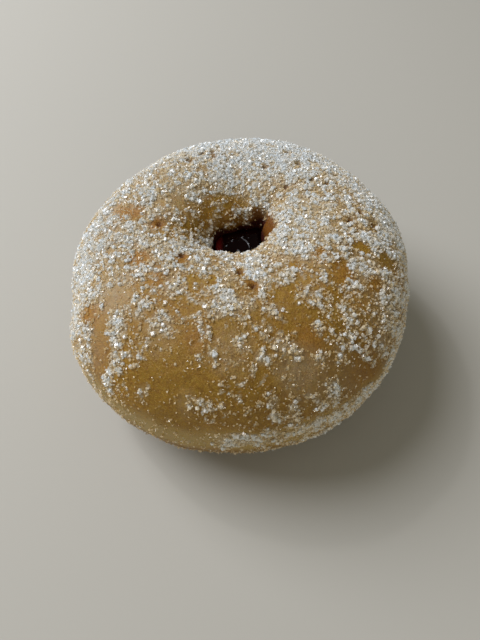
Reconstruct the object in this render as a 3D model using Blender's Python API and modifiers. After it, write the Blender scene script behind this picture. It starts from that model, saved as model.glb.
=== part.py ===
"""A sugared jelly doughnut: a fried yeast bun with a dimple in its crown, and jelly in the hole under the dimple.

Metres, +Z up. The origin is on the surface that the bun rests on, at the middle of the bun's box.
Azimuths are in degrees from +X towards +Y, about the axis of the hole. -Y is the bun's front.
"""

import math

import bpy

MM = 0.001

# Driving dimensions.
BUN_DIAMETER = 87.6 * MM
BUN_HEIGHT = 42.6 * MM
HOLE_RADIUS = 5.8 * MM
DIMPLE_DEPTH = 10 * MM
JELLY_GAP = 0.3 * MM

# The turned bun: one round roll from the hole over the crown to the waist, and another down to the flat base.
BUN_RADIUS = BUN_DIAMETER / 2
CROWN_RADIUS = 0.46 * BUN_RADIUS
BASE_RADIUS = 0.50 * BUN_RADIUS
WAIST_HEIGHT = 0.49 * BUN_HEIGHT
THROAT_HEIGHT = BUN_HEIGHT - DIMPLE_DEPTH
LIP_HEIGHT = BUN_HEIGHT - 0.4 * DIMPLE_DEPTH
HOLE_FLOOR_HEIGHT = 0.45 * BUN_HEIGHT
HOLE_FLOOR_ROUND = 0.9 * HOLE_RADIUS

# How full each roll is: 2 is an ellipse, and more is squarer. Then how many stretches it is drawn with.
UPPER_FULLNESS, UPPER_STRETCHES = 2.1, 14
LOWER_FULLNESS, LOWER_STRETCHES = 2.3, 10
LIP_FULLNESS, LIP_STRETCHES = 2.2, 9
FLOOR_FULLNESS, FLOOR_STRETCHES = 2.4, 5
MOUND_FULLNESS, MOUND_STRETCHES = 2.0, 4
TURN_STEPS = 80

# The pale line round the waist, where neither side touched the fat for long: a shallow groove.
PALE_LINE_HEIGHT = 0.53 * BUN_HEIGHT
PALE_LINE_HALF_WIDTH = 3.4 * MM
PALE_LINE_DEPTH = 0.5 * MM

# The outline seen from above: (number of lobes, their height as a share of the radius, azimuth of one of them).
OUTLINE_LOBES = (
    (2, 0.033, 60),
    (3, 0.011, 80),
    (4, 0.0035, 72),
    (5, 0.009, 17),
    (7, 0.005, 14),
    (8, 0.003, 22),
)
# The front-left shoulder is nearly a corner, with a flat beside it.
SHOULDER = {"azimuth": -147, "half_angle": 15, "outwards": 0.9 * MM}
FLAT = {"azimuth": -166, "half_angle": 15, "outwards": -0.8 * MM}

# The crown isn't level: (number of swells, their height, azimuth of one of them).
CROWN_SWELLS = (
    (1, 0.5 * MM, 140),
    (3, 0.5 * MM, 10),
    (5, 0.25 * MM, 60),
)

# The hole lies off the bun's middle. The shift fades out between these two radii.
HOLE_OFFSET = (-0.6 * MM, 2.6 * MM)
HOLE_OFFSET_REACH = (9 * MM, 38 * MM)
# The sides of the hole and of the dimple aren't alike. What shapes the hole fades out between these two radii.
LIP_REACH = (7.5 * MM, 19 * MM)
BACK_BULGE = {"azimuth": 110, "half_angle": 50, "inwards": 0.9 * MM}
FRONT_BULGE = {"azimuth": -95, "half_angle": 75, "inwards": 0.9 * MM}
CREASE = {"azimuth": 44, "half_angle": 22, "outwards": 2.4 * MM}
LEFT_CORNER = {"azimuth": 192, "half_angle": 58, "outwards": 3.2 * MM}
STEEP_LIP = {"azimuth": -12, "half_angle": 85, "rise": 2.4 * MM, "radius": 9.5 * MM, "half_width": 6 * MM}
VALLEY = {"azimuth": 186, "half_angle": 34, "rise": -1.2 * MM, "radius": 15 * MM, "half_width": 11 * MM}

# The jelly fills the hole to its throat, in a low mound.
JELLY_EDGE_HEIGHT = THROAT_HEIGHT + 0.6 * MM
JELLY_CROWN = 0.9 * MM

CRUST_COLOUR = (0.48, 0.27, 0.075, 1.0)
CRUST_ROUGHNESS = 0.55
JELLY_COLOUR = (0.035, 0.004, 0.008, 1.0)
JELLY_ROUGHNESS = 0.08


def clear_scene():
    for obj in list(bpy.data.objects):
        bpy.data.objects.remove(obj)


def eased(value, low, high):
    """0 up to low, 1 from high on, and smooth between."""
    share = min(max((value - low) / (high - low), 0.0), 1.0)
    return share * share * (3 - 2 * share)


def hump(value, middle, half_width):
    """1 at middle, and smoothly down to 0 at half_width on either side."""
    return 1 - eased(abs(value - middle), 0, half_width)


def side_hump(azimuth, side):
    """1 at the side's own azimuth, and smoothly down to 0 at its half angle either way."""
    away = (azimuth - side["azimuth"] + 180) % 360 - 180
    return hump(away, 0, side["half_angle"])


def ripple(azimuth, waves):
    """The sum of waves round the bun, each with its own number of crests."""
    return sum(height * math.cos(math.radians(count * (azimuth - crest))) for count, height, crest in waves)


def roll(middle, reach, angles, fullness, stretches):
    """Points (radius, height) on an oval roll about middle, from the first angle to the second."""
    start, end = angles
    points = []
    for step in range(stretches + 1):
        angle = math.radians(start + (end - start) * step / stretches)
        across, up = math.cos(angle), math.sin(angle)
        points.append((
            middle[0] + reach[0] * math.copysign(abs(across) ** (2 / fullness), across),
            middle[1] + reach[1] * math.copysign(abs(up) ** (2 / fullness), up),
        ))
    return points


def hole_profile(clearance):
    """The hole from its floor on the axis out and up to its wall, drawn in by clearance."""
    middle = (0.0, HOLE_FLOOR_HEIGHT + clearance + HOLE_FLOOR_ROUND)
    reach = (HOLE_RADIUS - clearance, HOLE_FLOOR_ROUND)
    points = roll(middle, reach, (-90, 0), FLOOR_FULLNESS, FLOOR_STRETCHES)
    points[0] = (0.0, HOLE_FLOOR_HEIGHT + clearance)
    return points


def bun_profile():
    """The dough's own outline, from the floor of the hole round to the middle of the base."""
    lip_reach = (HOLE_RADIUS - CROWN_RADIUS, DIMPLE_DEPTH)
    lip = roll((CROWN_RADIUS, THROAT_HEIGHT), lip_reach, (0, 90), LIP_FULLNESS, LIP_STRETCHES)
    upper_reach = (BUN_RADIUS - CROWN_RADIUS, BUN_HEIGHT - WAIST_HEIGHT)
    upper = roll((CROWN_RADIUS, WAIST_HEIGHT), upper_reach, (90, 0), UPPER_FULLNESS, UPPER_STRETCHES)
    lower_reach = (BUN_RADIUS - BASE_RADIUS, -WAIST_HEIGHT)
    lower = roll((BASE_RADIUS, WAIST_HEIGHT), lower_reach, (0, 90), LOWER_FULLNESS, LOWER_STRETCHES)
    return hole_profile(0) + lip + upper[1:] + lower[1:] + [(0.0, 0.0)]


def jelly_profile():
    """The jelly from the top of its low mound out to the wall of the hole, and down the wall to its foot."""
    mound_reach = (HOLE_RADIUS - JELLY_GAP, JELLY_CROWN)
    mound = roll((0, JELLY_EDGE_HEIGHT), mound_reach, (90, 0), MOUND_FULLNESS, MOUND_STRETCHES)
    mound[0] = (0.0, JELLY_EDGE_HEIGHT + JELLY_CROWN)
    return mound + hole_profile(JELLY_GAP)[::-1]


def turned_mesh(name, profile):
    """A closed mesh from a profile (radius, height) that starts and ends on the Z axis."""
    outline = bpy.data.meshes.new(name + "_profile")
    points = [(radius, 0.0, height) for radius, height in profile]
    outline.from_pydata(points, [(i, i + 1) for i in range(len(points) - 1)], [])
    lathe = bpy.data.objects.new(name + "_lathe", outline)
    bpy.context.scene.collection.objects.link(lathe)
    screw = lathe.modifiers.new("turn", "SCREW")
    screw.axis = "Z"
    screw.steps = TURN_STEPS
    screw.render_steps = TURN_STEPS
    screw.use_merge_vertices = True
    screw.merge_threshold = 0.01 * MM
    graph = bpy.context.evaluated_depsgraph_get()
    mesh = bpy.data.meshes.new_from_object(lathe.evaluated_get(graph))
    mesh.name = name
    bpy.data.objects.remove(lathe)
    return mesh


def height_on_crown(azimuth, radius, height):
    """The swells, the steep lip and the valley lift or sink the crown, and leave all below the waist alone."""
    above_waist = eased(height, WAIST_HEIGHT, BUN_HEIGHT)
    rise = ripple(azimuth, CROWN_SWELLS) * eased(radius, HOLE_RADIUS, CROWN_RADIUS)
    for place in (STEEP_LIP, VALLEY):
        across = hump(radius, place["radius"], place["half_width"])
        rise += place["rise"] * across * side_hump(azimuth, place)
    return height + rise * above_waist


def radius_at_hole(azimuth, radius, height):
    """The bulges, the crease and the corner move the wall of the hole and the lip in or out."""
    outwards = CREASE["outwards"] * side_hump(azimuth, CREASE)
    for bulge in (BACK_BULGE, FRONT_BULGE):
        outwards -= bulge["inwards"] * side_hump(azimuth, bulge)
    on_lip = eased(height, THROAT_HEIGHT, LIP_HEIGHT)
    outwards += LEFT_CORNER["outwards"] * side_hump(azimuth, LEFT_CORNER) * on_lip
    near_hole = 1 - eased(radius, *LIP_REACH)
    above_floor = eased(height, HOLE_FLOOR_HEIGHT, THROAT_HEIGHT)
    off_axis = min(radius / HOLE_RADIUS, 1.0)
    return radius + outwards * near_hole * above_floor * off_axis


def radius_at_outside(azimuth, radius, height):
    """How far the uneven outline and the groove of the pale line move a point out."""
    outwards = radius * ripple(azimuth, OUTLINE_LOBES) * eased(radius, HOLE_RADIUS, BUN_RADIUS)
    near_rim = eased(radius, CROWN_RADIUS, BUN_RADIUS)
    for place in (SHOULDER, FLAT):
        outwards += place["outwards"] * side_hump(azimuth, place) * near_rim
    groove = PALE_LINE_DEPTH * hump(height, PALE_LINE_HEIGHT, PALE_LINE_HALF_WIDTH)
    return outwards - groove * near_rim


def shaped(point):
    """Where a point of the turned doughnut comes to lie on the uneven one."""
    azimuth = math.degrees(math.atan2(point.y, point.x))
    turned_radius = math.hypot(point.x, point.y)
    radius = radius_at_hole(azimuth, turned_radius, point.z)
    radius += radius_at_outside(azimuth, turned_radius, point.z)
    shift = (1 - eased(turned_radius, *HOLE_OFFSET_REACH)) * eased(point.z, 0, HOLE_FLOOR_HEIGHT)
    return (
        radius * math.cos(math.radians(azimuth)) + HOLE_OFFSET[0] * shift,
        radius * math.sin(math.radians(azimuth)) + HOLE_OFFSET[1] * shift,
        height_on_crown(azimuth, turned_radius, point.z),
    )


def plain_material(name, colour, roughness):
    material = bpy.data.materials.new(name)
    material.use_nodes = True
    shader = material.node_tree.nodes["Principled BSDF"]
    shader.inputs["Base Color"].default_value = colour
    shader.inputs["Roughness"].default_value = roughness
    shader.inputs["Metallic"].default_value = 0.0
    material.diffuse_color = colour
    return material


def food_piece(name, profile, material, collection):
    mesh = turned_mesh(name, profile)
    for vertex in mesh.vertices:
        vertex.co = shaped(vertex.co)
    mesh.materials.append(material)
    mesh.shade_smooth()
    piece = bpy.data.objects.new(name, mesh)
    collection.objects.link(piece)
    return piece


def centre_on(bun, pieces):
    """Moves the pieces together, so that the middle of the bun's box is over the origin."""
    for axis in range(2):
        places = [vertex.co[axis] for vertex in bun.data.vertices]
        middle = (min(places) + max(places)) / 2
        for piece in pieces:
            for vertex in piece.data.vertices:
                vertex.co[axis] -= middle


def build():
    clear_scene()
    collection = bpy.data.collections.new("jelly_doughnut")
    bpy.context.scene.collection.children.link(collection)
    crust = plain_material("crust", CRUST_COLOUR, CRUST_ROUGHNESS)
    preserve = plain_material("jelly", JELLY_COLOUR, JELLY_ROUGHNESS)
    bun = food_piece("dough", bun_profile(), crust, collection)
    jelly = food_piece("jelly", jelly_profile(), preserve, collection)
    centre_on(bun, (bun, jelly))


build()
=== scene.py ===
import math

import bpy
import numpy as np
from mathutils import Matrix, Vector, noise


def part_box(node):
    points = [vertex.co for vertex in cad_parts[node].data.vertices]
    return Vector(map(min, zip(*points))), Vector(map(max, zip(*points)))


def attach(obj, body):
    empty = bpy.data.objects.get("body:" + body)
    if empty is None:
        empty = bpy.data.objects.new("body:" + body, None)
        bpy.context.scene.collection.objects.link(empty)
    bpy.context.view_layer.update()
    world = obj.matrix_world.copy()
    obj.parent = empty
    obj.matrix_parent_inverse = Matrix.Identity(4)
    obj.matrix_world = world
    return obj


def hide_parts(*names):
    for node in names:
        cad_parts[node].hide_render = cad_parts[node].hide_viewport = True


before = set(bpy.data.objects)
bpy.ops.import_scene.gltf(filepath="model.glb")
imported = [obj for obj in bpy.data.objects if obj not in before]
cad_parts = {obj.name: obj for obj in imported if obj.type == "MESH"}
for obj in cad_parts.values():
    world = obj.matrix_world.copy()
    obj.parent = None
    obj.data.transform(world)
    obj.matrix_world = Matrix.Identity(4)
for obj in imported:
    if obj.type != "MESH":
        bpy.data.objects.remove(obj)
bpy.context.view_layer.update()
MM = 0.001


# The crust is the bun's fried skin: golden brown yeast dough, pale round the waist, darker underneath and
# soaked where the jelly wells up. It has the dough's own form, meshed evenly, with the swells, wrinkles and
# burst bubbles that frying leaves.

def edited_copy(node, name):
    """A new object with its own merged copy of a CAD node's mesh, alone in the selection."""
    bpy.ops.object.select_all(action="DESELECT")
    piece = bpy.data.objects.new(name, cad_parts[node].data.copy())
    piece.data.name = name
    piece.data.materials.clear()
    bpy.context.scene.collection.objects.link(piece)
    piece.select_set(True)
    bpy.context.view_layer.objects.active = piece
    bpy.ops.object.mode_set(mode="EDIT")
    bpy.ops.mesh.select_all(action="SELECT")
    bpy.ops.mesh.remove_doubles(threshold=0.01 * MM)
    bpy.ops.mesh.tris_convert_to_quads()
    bpy.ops.object.mode_set(mode="OBJECT")
    return piece


def apply_modifier(piece, kind, **settings):
    """Adds a modifier with these settings to the piece and applies it."""
    modifier = piece.modifiers.new(kind.lower(), kind)
    for key, value in settings.items():
        setattr(modifier, key, value)
    bpy.context.view_layer.objects.active = piece
    bpy.ops.object.modifier_apply(modifier=modifier.name)


def points_of(mesh):
    """The places of a mesh's points, one row each."""
    values = np.empty(len(mesh.vertices) * 3)
    mesh.vertices.foreach_get("co", values)
    return values.reshape(-1, 3)


def normals_of(mesh):
    """The outward directions at a mesh's points, one row each."""
    values = np.empty(len(mesh.vertices) * 3)
    mesh.vertex_normals.foreach_get("vector", values)
    return values.reshape(-1, 3)


def move_points(mesh, points):
    """Puts a mesh's points at these places."""
    mesh.vertices.foreach_set("co", points.astype(np.float32).reshape(-1))
    mesh.update()


def paint(mesh, name, values):
    """Keeps one number for each point of the mesh, for its material to read."""
    layer = mesh.attributes.new(name, "FLOAT", "POINT")
    layer.data.foreach_set("value", values.astype(np.float32))


def eased(value, low, high):
    """0 up to low, 1 from high on, and smooth between."""
    share = np.clip((value - low) / (high - low), 0, 1)
    return share * share * (3 - 2 * share)


def between(value, rise, fall):
    """1 between two slopes, each (start, end), and 0 outside them."""
    return eased(value, *rise) * (1 - eased(value, *fall))


def cloud(points, size, seed, stretch=(1, 1, 1)):
    """Smooth noise about 0 with features of this size, drawn out along the axes by stretch."""
    scale = 1 / (size * np.array(stretch))
    shift = np.array((7.3, 3.1, 5.7)) * seed
    return np.array([noise.fractal(Vector(p), 0.7, 2.0, 2) for p in points * scale + shift])


def spots(points, places):
    """The sum of soft round spots, each (x, y, radius, strength) in mm as seen from above."""
    total = np.zeros(len(points))
    for x, y, radius, strength in places:
        away = np.hypot(points[:, 0] - x * MM, points[:, 1] - y * MM)
        total += strength * (1 - eased(away, 0.25 * radius * MM, 1.25 * radius * MM))
    return total


CRUST_VOXEL = 0.53 * MM
crust = edited_copy("dough", "crust_skin")
apply_modifier(crust, "SUBSURF", levels=2, render_levels=2)
apply_modifier(crust, "REMESH", mode="VOXEL", voxel_size=CRUST_VOXEL)
crust.data.shade_smooth()
skin = points_of(crust.data)
outwards = normals_of(crust.data)

bun_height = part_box("dough")[1].z
jelly_low, jelly_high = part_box("jelly")
hole = np.array(((jelly_low.x + jelly_high.x) / 2, (jelly_low.y + jelly_high.y) / 2))
from_hole = np.hypot(skin[:, 0] - hole[0], skin[:, 1] - hole[1])
azimuth = np.arctan2(skin[:, 1] - hole[1], skin[:, 0] - hole[0])

# Broad swells by the hole, unevenness all over, and wrinkles that run round the bun, most on its front left.
SWELLS = [(15, -9, 11, 1.0), (-15, 1.5, 7, 0.5), (-2.5, 7.0, 2.2, 0.5)]
SWELL_HEIGHT = 1.3 * MM
UNEVENNESS = 0.22 * MM
WRINKLED = [(-24, -16, 16, 0.65), (-8, -26, 14, 0.3)]
WRINKLED_ELSEWHERE = 0.2
WRINKLE_HEIGHT = 0.10 * MM
GRAIN_HEIGHT = 0.07 * MM
USUAL_RADIUS = 22 * MM
FLAT_FOOT = (0.2 * MM, 3 * MM)
around = np.stack([from_hole, azimuth * USUAL_RADIUS, skin[:, 2]], 1)
swells = cloud(skin, 7 * MM, 1)
wrinkles = 1 - 2 * np.abs(cloud(around, 2.2 * MM, 2, (1, 5, 1)))
wrinkled = np.clip(WRINKLED_ELSEWHERE + spots(skin, WRINKLED), 0, 1)
relief = SWELL_HEIGHT * spots(skin, SWELLS) + UNEVENNESS * swells
relief += WRINKLE_HEIGHT * wrinkles * wrinkled + GRAIN_HEIGHT * cloud(skin, 1.6 * MM, 3)

# Bubbles that burst in the fat, each a small pit: (x, y) in mm as seen from above.
BURST_BUBBLES = [
    (-7, 25), (-10, 24), (-13, 21), (-6.5, 23), (6, 20), (12, 26), (14.5, 21.5), (14, 42), (-8, 42),
    (-19, 1), (0, -13), (25, 2), (28, 5), (31, 2), (11, 13), (17, 15), (2.5, -17), (-13, -9), (21, 14),
]
BUBBLE_RADIUS = 1.25 * MM
BUBBLE_DEPTH = 0.7 * MM
pits = np.zeros(len(skin))
upper = skin[:, 2] > bun_height / 2
for x, y in BURST_BUBBLES:
    across = np.hypot(skin[:, 0] - x * MM, skin[:, 1] - y * MM)
    middle = skin[np.argmin(np.where(upper, across, 1))]
    away = np.linalg.norm(skin - middle, axis=1) / BUBBLE_RADIUS
    pits = np.maximum(pits, 1 - eased(away, 0.1, 1.0))
relief -= BUBBLE_DEPTH * pits
relief *= eased(skin[:, 2], *FLAT_FOOT)
skin = skin + outwards * relief[:, None]
move_points(crust.data, skin)

# How much sugar lies on each place. The bun was dredged from behind, so the sugar thins towards the front,
# with clumps and bare patches. Below the waist it is scattered, but for a band that caught at the front.
CLUMPS = [
    (-26, -23, 2.4, 0.8), (-26, -26, 2.8, 0.8), (-21, -23, 1.8, 0.4), (-16, -26, 3.5, 0.4),
    (-7, -28, 1.5, 0.4), (-5, -23, 2.6, 0.8), (-2, -22, 2.8, 0.8), (-4, -19, 2.4, 0.4),
    (-26, -31, 2, 0.6), (-28, -33, 2, 0.35), (-29, -36, 2.4, 0.3), (-35, -23, 4, 0.45),
    (-20, -37, 2.0, 0.4), (-17, -39, 1.5, 0.25), (-10, -39.5, 2.6, 0.22), (-7, -40, 1.8, 0.12),
    (-13, -36.5, 2, 0.2), (-27, -32, 1.6, 0.2), (-37, -18, 4, 0.65), (0, 13, 3, 0.15), (24, 13, 4, 0.1),
    (14, -7, 3, 0.2), (7.5, -22.5, 2, 0.2), (15, -19, 2, 0.2), (15.5, -26, 1.8, 0.45),
    (23, -22, 2.2, 0.25), (24, -24, 2.4, 0.2), (27, -28.5, 2.5, 0.5), (28.5, 2, 2, 0.35),
    (8, -29.5, 2, 0.5), (10.5, -31, 1.8, 0.35), (4, -32.5, 1.8, 0.5), (16, -31.5, 2, 0.6),
    (19, -36, 2.2, 0.8), (16, -38, 1.6, 0.4), (6.5, -39.5, 1.6, 0.5), (11, -41, 2.5, 0.4),
    (22, -29.5, 4, 0.35), (1.5, -22, 2, 0.4), (-14, -15, 2.4, 0.2), (-3, -15, 2.4, 0.3),
    (31, -10, 3.5, 0.35), (-27, -14, 3, 0.3), (-36, -7, 4, 0.45), (-20, 10, 4, 0.3), (-18, 17, 3, 0.25),
    (-28, 11, 3, 0.3), (-4, 19, 4, 0.25), (13, 5, 4, 0.4), (-21, 3, 3, 0.25), (30, -26, 2, 0.5),
    (34, -20, 4, 0.4), (34, -14, 3, 0.35), (-22, 10.5, 2.4, 0.7), (-36, -11, 3.5, 0.55),
    (-37, -1, 6, 0.4), (-25, -3, 5, 0.45), (-19, -7, 4, 0.4), (-13, -5, 4, 0.3), (-22, -14, 3, 0.2),
    (-34, 5, 5, 0.45), (-31, -17, 3, 0.5), (-14, -17, 3, 0.45), (-9, -12, 3.5, 0.4), (3, -12, 4, 0.5),
    (0, -9, 3.5, 0.25), (-8, -33, 3.5, 0.25), (12, -3, 9, 0.35), (19, -12, 3, 0.25),
    (27, -11, 3.5, 0.3), (30, -3, 2.5, 0.7), (36, 3, 5, 0.65), (-3, -13, 3, 0.2), (-21, -31, 3, 0.25),
    (-32, -29, 3, 0.35), (33, 10, 6, 0.4), (8, 19, 5, 0.3), (-14, 24, 5, 0.35), (-4, 14, 4, 0.3),
    (20, 8, 7, 0.15),
]
BARE_PATCHES = [
    (33, -7.5, 3.2, -0.7), (27, -5.5, 2.5, -0.6), (31, 1.5, 1.8, -0.5), (20.5, 0.3, 1.8, -0.5),
    (15, 4, 3, -0.25), (21, -12.5, 3, -0.5), (17.5, -8.5, 2, -0.45), (29.5, -14, 2, -0.6),
    (11.5, -11.5, 1.5, -0.4), (0, -13, 1.6, -0.9), (2.5, -16.5, 1.8, -0.7), (9, -18.5, 3.2, -0.4),
    (12.5, -24, 3.6, -0.4), (14, -28.5, 3, -0.4), (18, -15, 6, -0.2), (26, -32, 7, -0.4),
    (16, -34, 4, -0.2), (-7, -37, 3, -0.2), (-15, -34, 8, -0.25), (-10, -30, 3, -0.3),
    (-3, -27, 3, -0.25), (-22, -9.5, 3.2, -0.45), (-13, -9.5, 1.8, -0.8), (-26, -18, 4, -0.5),
    (-10.5, -15, 2.4, -0.5), (-6, -15.5, 2, -0.35), (-17, -15, 3, -0.15), (-33, -20, 3, -0.4),
    (-30, -29, 3.5, -0.5), (-19, 1, 1.8, -0.8), (-24.5, 4, 2.4, -0.6), (-29, 5, 3.5, -0.35),
    (-15, 7.5, 3, -0.45), (-19, 7, 2, -0.4), (-19, 15, 3, -0.3), (-3, 9, 6, -0.4), (-10, 6, 5, -0.28),
    (-16, -40, 9, -0.2), (-13, 0, 4, -0.3), (13, -14, 2.5, -0.3), (-29, -25, 4, -0.35),
    (-11, -21, 4, -0.4), (-20, -17, 4, -0.2), (8, -25, 3, -0.2), (13, -15, 2.5, -0.2),
    (22.5, -17, 2.5, -0.15), (-16.5, -2, 2.5, -0.25), (28, -21, 3, -0.2), (0, -7, 3, -0.15),
]
SPARSEST = 0.004
FRONT_COVER = 0.05
MIDDLE_COVER = 0.41
MIDDLE_FROM_TO = (-36 * MM, -5 * MM)
BACK_COVER = 0.5
BACK_FROM_TO = (6 * MM, 28 * MM)
WAIST = 0.5 * bun_height
LOW_COVER = 0.01
LOW_BACK_COVER = 0.4
LOW_RIGHT_COVER = 0.22
LOW_RIGHT_START, LOW_RIGHT_END = (-88, -60), (0, 90)
BAND_COVER = 0.5
BAND_RISE = (19.5 * MM, 21.5 * MM)
BAND_FALL = (24 * MM, 27.5 * MM)
BAND_START, BAND_END = (-101, -93), (-20, 0)
side_angle = np.degrees(np.arctan2(skin[:, 1], skin[:, 0]))
above_waist = eased(skin[:, 2] + 3 * MM * swells, WAIST + 1 * MM, WAIST + 9 * MM)
over_foot = eased(skin[:, 2], 0.25 * bun_height, 0.4 * bun_height)
spread = FRONT_COVER + MIDDLE_COVER * eased(skin[:, 1], *MIDDLE_FROM_TO)
spread += BACK_COVER * eased(skin[:, 1], *BACK_FROM_TO)
spread += spots(skin, CLUMPS) + spots(skin, BARE_PATCHES)
back_side = eased(skin[:, 1] + 6 * MM * swells, -12 * MM, 24 * MM)
right_side = between(side_angle, LOW_RIGHT_START, LOW_RIGHT_END)
scattered = LOW_COVER + LOW_BACK_COVER * back_side + LOW_RIGHT_COVER * right_side
caught = between(skin[:, 2] + 2 * MM * swells, BAND_RISE, BAND_FALL)
caught *= between(side_angle, BAND_START, BAND_END) * (1 - 0.6 * eased(side_angle, -75, -50))
dredged = above_waist * spread + (1 - above_waist) * scattered + BAND_COVER * caught

# The hole's wall: soaked and almost bare, with the dark stain of the jelly just above it, partly the jelly's
# real stain and partly painted shade deep in the hole; painted shade darkens a crease at the back right, and
# painted light makes the wall lighter high up on the right.
HOLE_RADIUS = 8.2 * MM
WIDER_RIGHT = 1.5 * MM
HOLE_EDGE = 1.8 * MM
HOLE_CLUMPS = [(-1, 9.5, 1.3, 0.7), (1.5, 9, 1.2, 0.6), (2.5, 11.5, 1.2, 0.5), (-7, 6, 1.5, 0.6),
               (-8, 1, 1.2, 0.6)]
HOLE_COVER = 0.03
# Painted shade: near-black spots where the crease at the back right lies in shadow.
CREASE_SHADE = [(6.5, 8, 1.6, 0.5), (5.3, 6.8, 1.6, 0.8)]
LIT_FROM_TO = (2.0 * MM, 5.0 * MM)
BESIDE_JELLY_RADIUS = 10 * MM
rightwards = eased(np.cos(azimuth - 0.25), 0.4, 0.85)
leftwards = eased(-np.cos(azimuth), 0.5, 0.9)
above_jelly = skin[:, 2] - jelly_high.z
in_hole = eased(HOLE_RADIUS + WIDER_RIGHT * rightwards - from_hole, 0, HOLE_EDGE) * over_foot
right_wall = in_hole * rightwards
# Painted light: the soaked right wall is lighter higher up, where light shines through the thin dough.
lit_wall = right_wall * eased(above_jelly + 1.5 * MM * swells, *LIT_FROM_TO)
stain_height = above_jelly - 0.8 * MM * leftwards - 1.3 * MM * rightwards
# Near-black just above the jelly: partly the jelly's stain, partly painted shade deep in the hole; the crease
# spots are painted shade.
stain_and_shade = in_hole * (1 - eased(stain_height, 0, 1.0 * MM)) + spots(skin, CREASE_SHADE) * in_hole
under_jelly_top = 1 - eased(above_jelly, -0.3 * MM, 0.5 * MM)
beside_jelly = (from_hole < BESIDE_JELLY_RADIUS) * over_foot * under_jelly_top
sugared = np.clip(dredged, SPARSEST, 1) * (1 - in_hole)
sugared += (HOLE_COVER + spots(skin, HOLE_CLUMPS)) * in_hole * (1 - right_wall)
sugared *= (1 - eased(pits, 0.05, 0.4)) * (1 - beside_jelly)


SMALL_CLUSTER = 1.1 * MM
LARGE_CLUSTER = 2.8 * MM


def sugar_cover(points, level, thinning, clumping):
    """The share of each place that sugar covers: it clumps where it is sparse and lies evenly where thick."""
    clusters = 1.5 * cloud(points, SMALL_CLUSTER, 21) + 1.2 * cloud(points, LARGE_CLUSTER, 22)
    return np.clip(0.95 * level ** thinning * np.exp(clumping * clusters * (1.15 - level)), 0, 1)


# How brown the fat has fried the crust, and where sugar has melted on it to a pale film. Towards the front
# the crust is darker brown: partly its own colour and partly painted shade, where the front faces away from
# the key light.
AMBER_PATCHES = [
    (-22, -9.5, 4, 0.8), (-30, 6, 6, 0.7), (17, -9, 3, 0.6), (22, -13, 4, 0.5), (29.5, -14, 3, 0.6),
    (-13, -9.5, 2, 1.0), (14, -28.5, 4, 0.7), (12, 14, 3, 0.7), (-33, -21, 5, 0.7), (27, -32, 6, 0.5),
    (-6, 24, 4, 0.6), (12, 25, 3, 0.6), (-20, 1, 3, 0.9), (2.5, -16, 3, 0.8), (-17, -15, 4, 0.6),
    (-30, -29, 4, 0.6), (-24, 5, 3, 0.7), (-9, -29, 3, 0.6),
]
OLIVE_PATCHES = [
    (-15, 8, 4, 1.0), (10, -18.5, 5, 0.6), (33, -7, 5, 0.7), (-14, -35, 9, 0.8), (2, -37, 9, 0.6),
    (-10, -15, 3, 0.8), (-6, -15.5, 3, 0.8), (0, 10, 6, 0.6), (31, 1.5, 2, 0.9), (15, 4, 4, 0.7),
    (12, -23, 3, 0.5), (22, 4, 18, 0.5),
]
MILKY_PATCHES = [
    (-27, -18, 6, 0.5), (-17, -28, 6, 0.18), (-11, -39.5, 3.2, 0.2), (-20, -37, 2.0, 0.2),
    (20, -35, 9, 0.2), (-33, 8, 6, 0.5), (8, 32, 22, 0.9), (14, 2, 9, 0.7), (-18, 12, 11, 0.45),
    (-33, -28, 7, 0.35), (33, -22, 8, 0.35), (11, -34, 6, 0.35), (-2, -32, 6, 0.25), (4, -23, 10, 0.08),
    (20, -1, 6, 0.2), (16, -14, 6, 0.15),
]
DUSTED = 0.62
DUSTED_LESS_BEHIND = 0.25
front_left = eased(-skin[:, 1], 12 * MM, 26 * MM) * eased(skin[:, 0], -32 * MM, -18 * MM)
dust = (DUSTED - DUSTED_LESS_BEHIND * eased(skin[:, 1], 12 * MM, 26 * MM)) * eased(sugared, 0.12, 0.7)
crusted = eased(sugar_cover(skin, sugared, 1.6, 5.0), 0.15, 1.0)
melted_share = np.clip(spots(skin, MILKY_PATCHES) * over_foot + 0.7 * caught, 0, 1)
paint(crust.data, "pits", pits)
# Darker brown towards the front: partly the crust's own colour, partly painted shade.
paint(crust.data, "browner_and_shaded", 0.33 * front_left * above_waist)
paint(crust.data, "amber_share", np.clip(spots(skin, AMBER_PATCHES), 0, 1) * above_waist)
paint(crust.data, "olive_share", np.clip(spots(skin, OLIVE_PATCHES), 0, 1) * above_waist)
paint(crust.data, "milky", melted_share * (1 - in_hole))
paint(crust.data, "frosted", np.maximum(crusted, dust))
paint(crust.data, "in_hole", in_hole * (1 - 0.5 * leftwards))
paint(crust.data, "right_wall", right_wall)
paint(crust.data, "lit_wall", lit_wall)
paint(crust.data, "stain_and_shade", np.clip(stain_and_shade, 0, 1))


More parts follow.
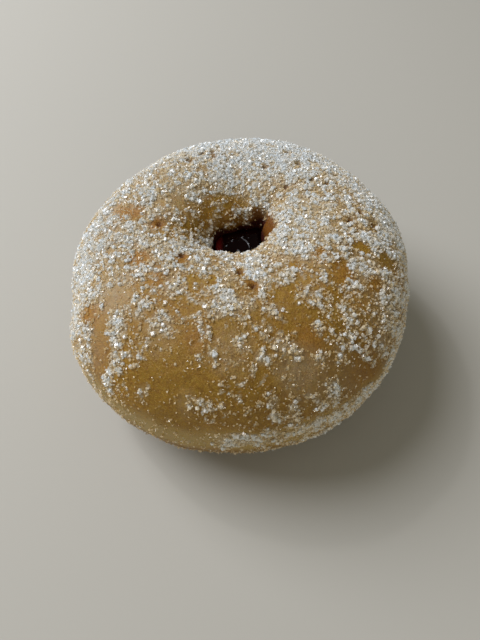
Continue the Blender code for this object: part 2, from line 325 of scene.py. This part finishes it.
class Nodes:
    """Adds shader nodes to a new material and joins them up."""

    def __init__(self, name):
        self.material = bpy.data.materials.new(name)
        self.material.use_nodes = True
        self.tree = self.material.node_tree
        self.shader = self.tree.nodes["Principled BSDF"]

    def add(self, kind, inputs=None, **settings):
        node = self.tree.nodes.new("ShaderNode" + kind)
        for key, value in settings.items():
            setattr(node, key, value)
        for key, value in (inputs or {}).items():
            self.put(node, key, value)
        return node

    def put(self, node, key, value):
        """Joins a socket to the node's input, or sets a plain value there."""
        if isinstance(value, bpy.types.NodeSocket):
            self.tree.links.new(value, node.inputs[key])
        else:
            node.inputs[key].default_value = value

    def shade(self, values):
        for key, value in values.items():
            self.put(self.shader, key, value)

    def attribute(self, name):
        """What paint() kept on the mesh under this name."""
        return self.add("Attribute", attribute_name=name).outputs["Fac"]

    def place(self):
        return self.add("TexCoord").outputs["Object"]

    def noise(self, size, detail, roughness=0.6):
        """Noise with features of this size in metres."""
        texture = self.add("TexNoise", {"Vector": self.place(), "Scale": 1 / size, "Detail": detail,
                                        "Roughness": roughness})
        return texture.outputs["Fac"]

    def ramp(self, value, stops):
        """A value turned into a colour or a number through stops of (position, colour)."""
        node = self.add("ValToRGB", {"Fac": value})
        ramp = node.color_ramp
        while len(ramp.elements) < len(stops):
            ramp.elements.new(0.5)
        for element, (position, colour) in zip(ramp.elements, stops):
            element.position = position
            element.color = colour if isinstance(colour, tuple) else (colour, colour, colour, 1)
        return node.outputs["Color"]

    def mix(self, share, first, second):
        """The first colour, mixed by share towards the second."""
        node = self.add("Mix", {"Factor": share, 6: first, 7: second}, data_type="RGBA")
        return node.outputs[2]

    def maths(self, operation, *values):
        return self.add("Math", dict(enumerate(values)), operation=operation).outputs[0]


def rgb(red, green, blue):
    return (red, green, blue, 1.0)


skin_look = Nodes("fried_crust")
golden = rgb(0.380, 0.196, 0.020)
olive = rgb(0.345, 0.192, 0.016)
amber = rgb(0.37, 0.155, 0.018)
caramel = rgb(0.20, 0.080, 0.010)
brown = rgb(0.19, 0.098, 0.010)
light_grain = rgb(0.54, 0.33, 0.07)
dark_speck = rgb(0.16, 0.065, 0.008)
burnt_pit = rgb(0.12, 0.036, 0.006)
soaked = rgb(0.20, 0.085, 0.007)
deep_soaked = rgb(0.11, 0.033, 0.0005)
# Painted light: the lighter colour of the soaked right wall high up.
lit_soaked = rgb(0.20, 0.070, 0.003)
jelly_stain_and_shade = rgb(0.045, 0.006, 0.003)
pale_dough = rgb(0.44, 0.305, 0.095)
underside = rgb(0.24, 0.130, 0.026)
melted_sugar = rgb(0.52, 0.44, 0.31)
sugar_dust = rgb(0.48, 0.43, 0.33)

# The colours go on one over another: broad tones, flecks and grains, the pits and the hole, the underside
# and the pale waist, and the melted sugar and the dust on top.
tones = skin_look.ramp(skin_look.noise(9 * MM, 3), [(0.40, 0.0), (0.65, 1.0)])
base = skin_look.mix(tones, golden, olive)
base = skin_look.mix(skin_look.attribute("olive_share"), base, olive)
base = skin_look.mix(skin_look.attribute("amber_share"), base, amber)
flecks = skin_look.ramp(skin_look.noise(1.3 * MM, 5, 0.7), [(0.42, 0.0), (0.68, 0.75)])
base = skin_look.mix(flecks, base, caramel)
# Painted shade in part: the crust made darker brown towards the front.
base = skin_look.mix(skin_look.attribute("browner_and_shaded"), base, brown)
grains = skin_look.ramp(skin_look.noise(0.42 * MM, 3, 0.65), [(0.50, 0.0), (0.72, 0.45)])
base = skin_look.mix(grains, base, light_grain)
specks = skin_look.ramp(skin_look.noise(0.6 * MM, 3, 0.6), [(0.30, 0.40), (0.46, 0.0)])
base = skin_look.mix(specks, base, dark_speck)
base = skin_look.mix(skin_look.attribute("pits"), base, burnt_pit)
blotches = skin_look.ramp(skin_look.noise(1.1 * MM, 4, 0.7), [(0.35, 0.45), (0.62, 1.0)])
base = skin_look.mix(skin_look.maths("MULTIPLY", skin_look.attribute("in_hole"), blotches), base, soaked)
base = skin_look.mix(skin_look.attribute("right_wall"), base, deep_soaked)
base = skin_look.mix(skin_look.maths("MULTIPLY", skin_look.attribute("lit_wall"), blotches), base, lit_soaked)
# Partly the jelly's stain, partly painted shade in the hole and the crease.
base = skin_look.mix(skin_look.attribute("stain_and_shade"), base, jelly_stain_and_shade)

height = skin_look.add("SeparateXYZ", {"Vector": skin_look.place()}).outputs["Z"]
waviness = skin_look.maths("MULTIPLY_ADD", skin_look.noise(9 * MM, 2), 6 * MM, -3 * MM)
level = skin_look.maths("DIVIDE", skin_look.maths("ADD", height, waviness), bun_height)
below = skin_look.ramp(level, [(0.36, 1.0), (0.44, 0.0)])
base = skin_look.mix(below, base, underside)
waist = skin_look.ramp(level, [(0.38, 0.0), (0.45, 1.0), (0.56, 1.0), (0.66, 0.0)])
base = skin_look.mix(skin_look.maths("MULTIPLY", waist, 0.85), base, pale_dough)
patchy = skin_look.maths("MULTIPLY", skin_look.attribute("milky"), skin_look.noise(1.6 * MM, 4))
film = skin_look.ramp(patchy, [(0.03, 0.0), (0.50, 0.75)])
base = skin_look.mix(film, base, melted_sugar)
base = skin_look.mix(skin_look.maths("MULTIPLY", skin_look.attribute("frosted"), 0.62), base, sugar_dust)
bump = skin_look.add("Bump", {"Height": skin_look.noise(0.55 * MM, 4, 0.7), "Strength": 0.9,
                              "Distance": 0.3 * MM})
skin_look.shade({"Base Color": base, "Roughness": 0.45, "Specular IOR Level": 0.3,
                 "Subsurface Weight": 0.12, "Subsurface Radius": (1.0, 0.5, 0.2),
                 "Subsurface Scale": 1.2 * MM, "Normal": bump.outputs[0]})
crust.data.materials.append(skin_look.material)

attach(crust, "root")
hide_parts("dough")


# The jelly is dark red fruit jelly that wells up in the hole: wet, lumpy and nearly black where it is deep,
# and clear red at its thin left edge. It reaches just into the crust's wall, so that no gap shows round it.

JELLY_VOXEL = 0.18 * MM
INTO_WALL = 0.45 * MM
LUMP_HEIGHT = 0.25 * MM
BEADS = [(0.7, 4.0, 0.6, 1.0), (-1.1, 2.8, 0.5, 0.9), (-1.8, 3.0, 0.5, 0.8), (-3.2, 1.5, 0.5, 0.7),
         (2.2, 3.8, 0.4, 0.6)]
BEAD_HEIGHT = 0.3 * MM
FOLD_MIDDLE = (-1.3 * MM, 0.4 * MM)
FOLD_RADIUS = 3.6 * MM
FOLD_WIDTH = 0.4 * MM
FOLD_HEIGHT = 0.3 * MM
jelly = edited_copy("jelly", "jelly_fill")
apply_modifier(jelly, "SUBSURF", levels=1, render_levels=1)
apply_modifier(jelly, "REMESH", mode="VOXEL", voxel_size=JELLY_VOXEL)
apply_modifier(jelly, "SMOOTH", factor=0.5, iterations=12)
jelly.data.shade_smooth()
fill = points_of(jelly.data)
facing = normals_of(jelly.data)
on_top = eased(facing[:, 2], 0.2, 0.7) * eased(fill[:, 2], jelly_high.z - 3 * MM, jelly_high.z - 1.5 * MM)
east, north = fill[:, 0] - FOLD_MIDDLE[0], fill[:, 1] - FOLD_MIDDLE[1]
fold = 1 - eased(np.abs(np.hypot(east, north) - FOLD_RADIUS), 0, FOLD_WIDTH)
fold *= between(np.degrees(np.arctan2(north, east)), (-30, -10), (40, 65))
lumps = LUMP_HEIGHT * cloud(fill, 3.2 * MM, 11) + BEAD_HEIGHT * spots(fill, BEADS) + FOLD_HEIGHT * fold
fill = fill + facing * (INTO_WALL * (1 - on_top) + on_top * lumps)[:, None]
move_points(jelly.data, fill)
paint(jelly.data, "thin", 1 - eased(fill[:, 0], jelly_low.x + 0.3 * MM, jelly_low.x + 2.0 * MM))

jelly_look = Nodes("wet_jelly")
deep_red = rgb(0.003, 0.0003, 0.0003)
clear_red = rgb(0.075, 0.005, 0.004)
jelly_look.shade({"Base Color": jelly_look.mix(jelly_look.attribute("thin"), deep_red, clear_red),
                  "Roughness": 0.04, "IOR": 1.34, "Specular IOR Level": 0.18})
jelly.data.materials.append(jelly_look.material)

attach(jelly, "root")
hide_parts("jelly")


# The sugar is granulated: clear to white crystals with cut corners, rolled on while the crust was warm, so
# they stick singly on the bare places and in crusts and clumps elsewhere. Each kind is one joined mesh of
# turned copies of one crystal.

SEED = 20
THICK_WHITENS = 0.42
LOWEST_SUGAR = 0.4 * MM
OFF_THE_FLOOR = 0.05 * MM
LEAN = 0.25
# Where the sugar is whiter (over 0) or more golden (under 0) than elsewhere.
SUGAR_TONES = [
    (8, -32, 17, -0.18), (28, -20, 10, -0.1), (-14, -38, 10, -0.12), (-34, -4, 12, 0.06),
    (5, 30, 18, 0.14), (22, -29.5, 3, 0.2),
]
skin_normals = normals_of(crust.data)
crust_area = sum(face.area for face in crust.data.polygons)


def taken_apart(shape):
    """A modelled crystal's points and faces, and the object is removed."""
    points = points_of(shape.data)
    faces = [list(face.vertices) for face in shape.data.polygons]
    bpy.data.objects.remove(shape)
    return points, faces


def leaning_cube(cut):
    """A crystal of size 1: a cube that leans a little, with one edge cut off where cut is over 0."""
    bpy.ops.object.select_all(action="DESELECT")
    bpy.ops.mesh.primitive_cube_add(size=1)
    shape = bpy.context.active_object
    if cut:
        bpy.ops.object.mode_set(mode="EDIT")
        bpy.ops.mesh.select_mode(type="EDGE")
        bpy.ops.mesh.select_all(action="DESELECT")
        bpy.ops.object.mode_set(mode="OBJECT")
        for edge in shape.data.edges:
            ends = [shape.data.vertices[end].co for end in edge.vertices]
            edge.select = all(end.x < 0 and end.z < 0 for end in ends)
        bpy.ops.object.mode_set(mode="EDIT")
        bpy.ops.mesh.bevel(offset=cut, segments=1)
        bpy.ops.object.mode_set(mode="OBJECT")
    points, faces = taken_apart(shape)
    points[:, 0] += LEAN * points[:, 2]
    return points, faces


def surface_samples(mesh, count, draw):
    """Spreads random points evenly over a mesh and returns a reader of its points' values there."""
    mesh.calc_loop_triangles()
    corners = np.empty(len(mesh.loop_triangles) * 3, np.int32)
    mesh.loop_triangles.foreach_get("vertices", corners)
    corners = corners.reshape(-1, 3)
    places = points_of(mesh)
    one, two, three = (places[corners[:, i]] for i in range(3))
    areas = np.linalg.norm(np.cross(two - one, three - one), axis=1)
    chosen = corners[draw.choice(len(corners), count, p=areas / areas.sum())]
    share = draw.random((count, 2))
    share = np.where(share.sum(1, keepdims=True) > 1, 1 - share, share)
    weights = np.stack([1 - share.sum(1), share[:, 0], share[:, 1]], 1)

    def read(values):
        return np.einsum("ij,ijk->ik", weights, values.reshape(len(values), -1)[chosen])

    return read


def random_turns(count, draw):
    """Rotation matrices spread evenly over all directions."""
    w, x, y, z = draw.normal(size=(4, count))
    length = np.sqrt(w * w + x * x + y * y + z * z)
    w, x, y, z = w / length, x / length, y / length, z / length
    return np.stack([
        1 - 2 * (y * y + z * z), 2 * (x * y - w * z), 2 * (x * z + w * y),
        2 * (x * y + w * z), 1 - 2 * (x * x + z * z), 2 * (y * z - w * x),
        2 * (x * z - w * y), 2 * (y * z + w * x), 1 - 2 * (x * x + y * y),
    ], 1).reshape(-1, 3, 3)


def sugar_piece(name, seed, material, crystal, per_mm2, sizes, proportions, lift, thinning, clumping):
    """One kind of crystal: per_mm2 of them where sugar lies thickest, sizes in mm, lift in crystal sizes."""
    draw = np.random.default_rng(SEED + seed)
    read = surface_samples(crust.data, round(per_mm2 * crust_area / MM**2), draw)
    places, normals, level = read(skin), read(skin_normals), read(sugared)[:, 0]
    chance = sugar_cover(places, level, thinning, clumping)
    thickness = sugar_cover(places, level, 1.2, 3.0)
    keep = np.flatnonzero((draw.random(len(places)) < chance) & (places[:, 2] > LOWEST_SUGAR))
    places, normals = places[keep], normals[keep] / np.linalg.norm(normals[keep], axis=1, keepdims=True)
    corners, faces = crystal
    size = draw.uniform(*sizes, len(keep))[:, None] * MM
    scale = size * draw.uniform(*proportions, (len(keep), 3))
    turned = np.einsum("nij,npj->npi", random_turns(len(keep), draw), corners[None] * scale[:, None])
    raised = places + normals * size * draw.uniform(*lift, (len(keep), 1))
    points = (turned + raised[:, None]).reshape(-1, 3)
    points[:, 2] = np.maximum(points[:, 2], OFF_THE_FLOOR)
    every = [[corner + len(corners) * i for corner in face] for i in range(len(keep)) for face in faces]
    mesh = bpy.data.meshes.new(name)
    mesh.from_pydata(points, [], every)
    tint = THICK_WHITENS * thickness[keep] + (1 - THICK_WHITENS) * draw.random(len(keep))
    paint(mesh, "tint", np.repeat(tint + spots(places, SUGAR_TONES), len(corners)))
    mesh.materials.append(material)
    piece = bpy.data.objects.new(name, mesh)
    bpy.context.scene.collection.objects.link(piece)
    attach(piece, "root")


def sugar_look(name, tints, roughness, alpha, ior):
    """Sugar whose colour follows each crystal's tint, from golden to white."""
    look = Nodes(name)
    look.shade({"Base Color": look.ramp(look.attribute("tint"), tints), "Roughness": roughness,
                "Alpha": alpha, "IOR": ior})
    return look.material


# The whitest tint of each sugar is faintly blue: a painted reflection of the cool light.
white_sugar = sugar_look("white_sugar", [
    (0.0, rgb(0.72, 0.54, 0.28)), (0.2, rgb(0.95, 0.80, 0.52)), (0.5, rgb(0.97, 0.92, 0.83)),
    (0.9, rgb(0.92, 0.97, 1.0)),
], roughness=0.16, alpha=0.6, ior=1.75)
clear_sugar = sugar_look("clear_sugar", [
    (0.0, rgb(0.60, 0.40, 0.14)), (0.35, rgb(0.95, 0.78, 0.48)), (0.7, rgb(1.0, 0.93, 0.80)),
    (1.0, rgb(0.94, 0.98, 1.0)),
], roughness=0.1, alpha=0.45, ior=1.9)
cut_cube = leaning_cube(0.22)
cube = leaning_cube(0)
bpy.ops.mesh.primitive_cylinder_add(vertices=3, radius=0.6, depth=1)
wedge = taken_apart(bpy.context.active_object)
bpy.ops.mesh.primitive_cone_add(vertices=3, radius1=0.65, radius2=0, depth=1)
chip = taken_apart(bpy.context.active_object)

sugar_piece("sugar_large", 1, white_sugar, cut_cube, per_mm2=2.0, sizes=(0.44, 0.72),
            proportions=(0.7, 1.15), lift=(0.05, 0.5), thinning=3.0, clumping=5.0)
sugar_piece("sugar_middle", 2, white_sugar, cube, per_mm2=2.9, sizes=(0.28, 0.45),
            proportions=(0.7, 1.2), lift=(0.1, 0.8), thinning=2.2, clumping=3.0)
sugar_piece("sugar_clear", 3, clear_sugar, cube, per_mm2=1.9, sizes=(0.38, 0.6),
            proportions=(0.6, 1.3), lift=(-0.1, 0.4), thinning=0.9, clumping=1.0)
sugar_piece("sugar_fine", 4, clear_sugar, wedge, per_mm2=2.4, sizes=(0.2, 0.34),
            proportions=(0.7, 1.3), lift=(0.0, 0.5), thinning=0.45, clumping=1.2)
sugar_piece("sugar_chips", 5, clear_sugar, chip, per_mm2=5.2, sizes=(0.32, 0.52),
            proportions=(0.7, 1.3), lift=(0.0, 0.4), thinning=0.65, clumping=1.5)


# The studio: a plain pale paper floor, a broad cool light from the back left with a tiny one beside it that
# puts glints on the sugar, a warm fill from the front, and a dim warm room all round.

FLOOR_SIZE = 4
bpy.ops.mesh.primitive_plane_add(size=FLOOR_SIZE, location=(0, 0, 0))
floor = bpy.context.active_object
floor.name = "floor"
paper = Nodes("floor_paper")
paper.shade({"Base Color": rgb(0.50, 0.475, 0.42), "Roughness": 0.8})
floor.data.materials.append(paper.material)

LIT_POINT = Vector((0, 0, 0.02))


def area_light(name, direction, distance, size, power, colour):
    """A round lamp that stands in this direction from the bun and shines on it."""
    light = bpy.data.lights.new(name, "AREA")
    light.shape = "DISK"
    light.size = size
    light.energy = power
    light.color = colour
    lamp = bpy.data.objects.new(name, light)
    bpy.context.scene.collection.objects.link(lamp)
    lamp.location = LIT_POINT + Vector(direction).normalized() * distance
    lamp.rotation_euler = (LIT_POINT - lamp.location).to_track_quat("-Z", "Y").to_euler()


area_light("key", (-0.75, 0.36, 0.84), 0.9, 0.65, 8.7, (0.90, 0.93, 1.0))
area_light("glint", (-0.6, 0.5, 0.9), 0.9, 0.04, 0.5, (0.93, 0.95, 1.0))
area_light("fill", (0.05, -0.9, 0.32), 1.2, 1.0, 2.3, (0.98, 0.93, 0.78))
ROOM_BRIGHTNESS = 0.21
room = bpy.data.worlds.new("studio")
room.use_nodes = True
room.node_tree.nodes["Background"].inputs["Color"].default_value = rgb(0.96, 0.95, 0.83)
room.node_tree.nodes["Background"].inputs["Strength"].default_value = ROOM_BRIGHTNESS
bpy.context.scene.world = room

CAMERA_PLACE = (-0.0002, -0.0765, 0.1241)
CAMERA_DOWN = 58
CAMERA_LENS = 27.06
camera_data = bpy.data.cameras.new("camera")
camera_data.lens = CAMERA_LENS
camera_data.clip_start = 0.01
camera = bpy.data.objects.new("camera", camera_data)
bpy.context.scene.collection.objects.link(camera)
camera.location = CAMERA_PLACE
camera.rotation_euler = (math.radians(90 - CAMERA_DOWN), 0, 0)
bpy.context.scene.camera = camera
bpy.context.scene.view_settings.view_transform = "Standard"
